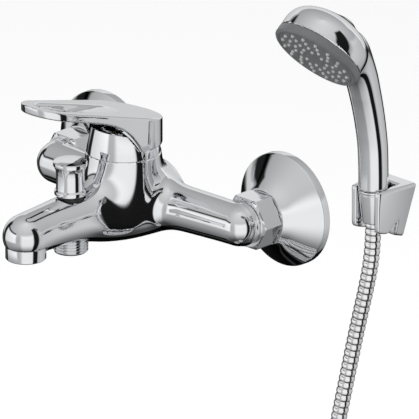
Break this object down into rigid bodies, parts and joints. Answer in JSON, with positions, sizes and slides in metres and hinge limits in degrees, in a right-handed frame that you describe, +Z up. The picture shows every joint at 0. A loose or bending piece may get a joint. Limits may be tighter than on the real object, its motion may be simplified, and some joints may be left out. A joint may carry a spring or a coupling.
{
  "type": "bath mixer",
  "caption": "Wall-mounted single-lever bath mixer with spout, pull-up diverter, shower outlet, and a hand shower with ribbed hose on a wall bracket.",
  "frame": {"origin": "on the finished wall, midway between the two inlet centres", "axes": "+X to the right along the inlets, +Y into the wall, +Z up; the spout points along -Y"},
  "size_m": [0.3013, 0.1718, 0.4031],
  "materials": {
    "chrome": "mirror chrome plate",
    "hose_steel": "chromed interlocked steel hose",
    "brass": "turned brass",
    "steel": "stainless steel",
    "ceramic": "ground ceramic",
    "rubber": "black rubber",
    "dark_plastic": "black bonnet ring",
    "inner_plastic": "moulded white plastic",
    "grey_plastic": "satin grey plastic",
    "nozzle_rubber": "light grey silicone",
    "plug_plastic": "grey plastic",
    "tie_plastic": "black strap"
  },
  "bodies": {
    "root": {"mixer_body": "chrome", "rosette_left": "chrome", "rosette_right": "chrome", "union_nut_left": "chrome", "union_nut_right": "chrome", "cartridge_cover": "chrome", "shower_outlet_nipple": "chrome", "aerator_housing": "chrome", "wall_bracket": "chrome", "eccentric_union_left": "brass", "eccentric_union_right": "brass", "nut_tailpiece_left": "brass", "nut_tailpiece_right": "brass", "cartridge_nut": "brass", "diverter_spring": "steel", "fixed_ceramic_disc": "ceramic", "cartridge_seals": "rubber", "union_washer_left": "rubber", "union_washer_right": "rubber", "aerator_washer": "rubber", "diverter_bonnet": "dark_plastic", "cartridge_housing": "inner_plastic", "aerator_insert": "inner_plastic", "check_valve_case": "inner_plastic"},
    "turner": {"cartridge_driver": "inner_plastic", "stem_pivot_pin": "steel"},
    "lever": {"lever": "chrome", "lever_set_screw": "steel", "lever_index_plug": "plug_plastic", "cartridge_stem": "steel"},
    "disc": {"moving_ceramic_disc": "ceramic"},
    "diverter": {"diverter_knob": "chrome", "diverter_spindle": "brass", "diverter_seal": "rubber"},
    "poppet": {"check_valve_poppet": "inner_plastic"},
    "hose": {"hose_cone_nut": "chrome", "hose_ferrule": "hose_steel", "shower_hose": "hose_steel", "hose_coil": "hose_steel", "coil_tie": "tie_plastic", "hose_end_nut": "chrome", "hose_end_washer": "rubber"},
    "handset": {"handset_shell": "chrome", "spray_ring": "grey_plastic", "spray_face": "grey_plastic", "nozzle_mat": "nozzle_rubber", "water_plate": "inner_plastic", "hose_washer": "rubber"}
  },
  "joints": [
    {"name": "lever_turn", "type": "hinge", "parent": "root", "child": "turner", "pos_m": [0, -0.0616, 0.028], "axis": [0, 0, 1], "range_deg": [-45, 45]},
    {"name": "lever_tilt", "type": "hinge", "parent": "turner", "child": "lever", "pos_m": [0, -0.0616, 0.028], "axis": [-1, 0, 0], "range_deg": [0, 25]},
    {"name": "disc_slide", "type": "slide", "parent": "turner", "child": "disc", "axis": [0, -1, 0], "range_m": [0, 0.0056]},
    {"name": "diverter_pull", "type": "slide", "parent": "root", "child": "diverter", "axis": [0, 0, 1], "range_m": [0, 0.009], "stiffness_N_per_m": 60, "springref_m": -0.01, "deforming": ["diverter_spring"]},
    {"name": "check_valve_lift", "type": "slide", "parent": "root", "child": "poppet", "axis": [0, 0, -1], "range_m": [0, 0.0015], "stiffness_N_per_m": 40, "springref_m": -0.001},
    {"name": "handset_lift", "type": "slide", "parent": "root", "child": "hose", "axis": [0, 0, 1], "range_m": [0, 0.024]},
    {"name": "handset_swivel", "type": "hinge", "parent": "hose", "child": "handset", "pos_m": [0.1647, -0.0212, 0.041], "axis": [0, 0, 1], "range_deg": [-60, 60]}
  ],
  "couplings": [
    {"joint": "disc_slide", "follows": "lever_tilt", "m_per_rad": 0.01162}
  ]
}
